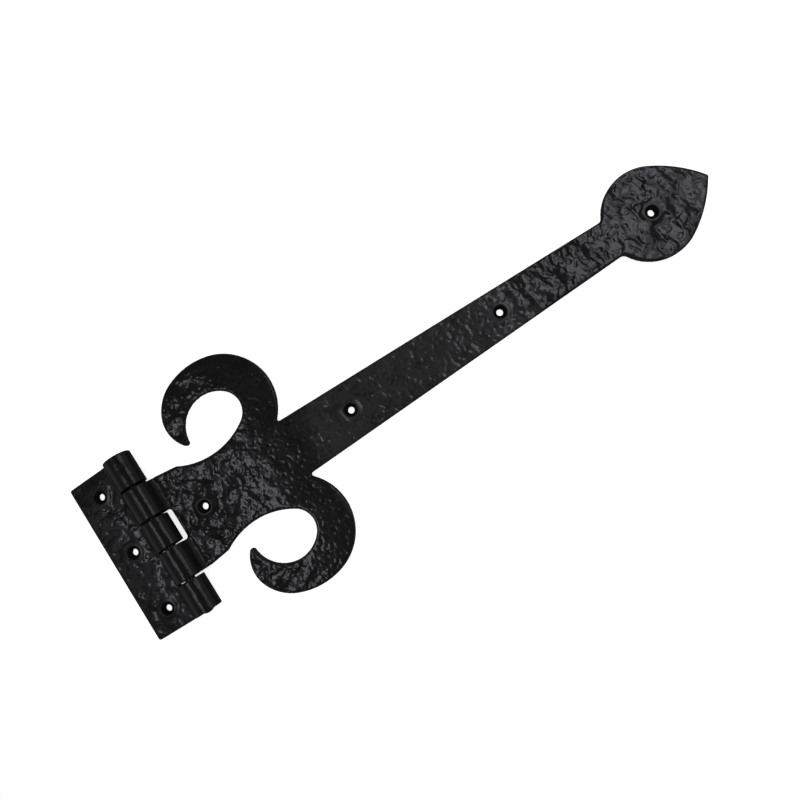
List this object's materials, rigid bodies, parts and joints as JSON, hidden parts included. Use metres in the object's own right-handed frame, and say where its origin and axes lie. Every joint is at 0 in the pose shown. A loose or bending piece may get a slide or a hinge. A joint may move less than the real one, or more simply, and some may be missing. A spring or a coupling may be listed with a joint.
{
  "type": "strap hinge",
  "caption": "Black cast-iron T-hinge: short jamb leaf, long tapered strap with fleur-de-lis curls at its root and a spade-shaped end, joined by one pin through interleaved knuckles",
  "frame": {"origin": "on the back plane that lies against the door and post, directly below the middle of the pin", "axes": "+X along the strap to its tip, +Y along the pin, +Z out of the hammered front face"},
  "size_m": [0.4568, 0.1676, 0.019],
  "materials": {
    "black_casting": "satin black paint over a hammered casting",
    "black_pin": "satin black paint over smooth steel"
  },
  "bodies": {
    "jamb_side": {"jamb_leaf": "black_casting", "hinge_pin": "black_pin"},
    "strap_side": {"strap": "black_casting"}
  },
  "joints": [
    {"name": "hinge_swing", "type": "hinge", "parent": "jamb_side", "child": "strap_side", "pos_m": [0, 0, 0.0095], "axis": [0, -1, 0], "range_deg": [-95, 190]}
  ]
}
